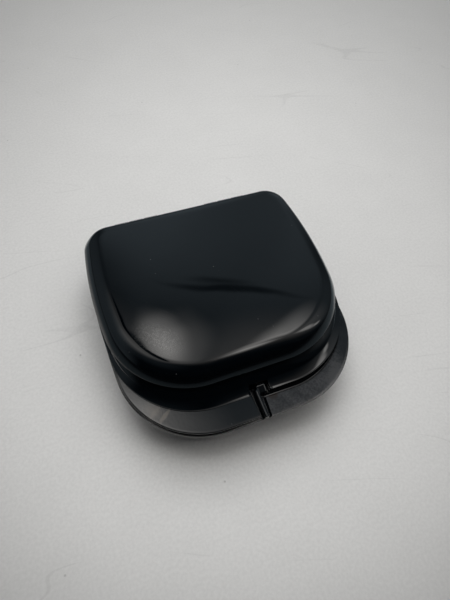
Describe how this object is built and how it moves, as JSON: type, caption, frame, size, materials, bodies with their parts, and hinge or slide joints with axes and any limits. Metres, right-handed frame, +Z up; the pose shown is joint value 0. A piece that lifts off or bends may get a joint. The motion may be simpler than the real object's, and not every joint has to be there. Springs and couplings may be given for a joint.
{
  "type": "dental appliance box",
  "caption": "Closed D-shaped moulded case for a dental retainer, with a hinged lid, a stepped rim and a thumb ledge on each half.",
  "frame": {"origin": "middle of the closed case's footprint, ledges and hinge included, on the table", "axes": "+X to the right seen from the front, +Y from the thumb ledges to the hinge, +Z up"},
  "size_m": [0.078, 0.0826, 0.0254],
  "materials": {
    "case_plastic": "glossy black moulded plastic with fine scratches",
    "pin_steel": "drawn steel wire"
  },
  "bodies": {
    "base_half": {"base": "case_plastic", "hinge_pin_left": "pin_steel", "hinge_pin_right": "pin_steel"},
    "lid_half": {"lid": "case_plastic"}
  },
  "joints": [
    {"name": "lid_hinge", "type": "hinge", "parent": "base_half", "child": "lid_half", "pos_m": [0, 0.0392, 0.0131], "axis": [-1, 0, 0], "range_deg": [0, 180]}
  ]
}
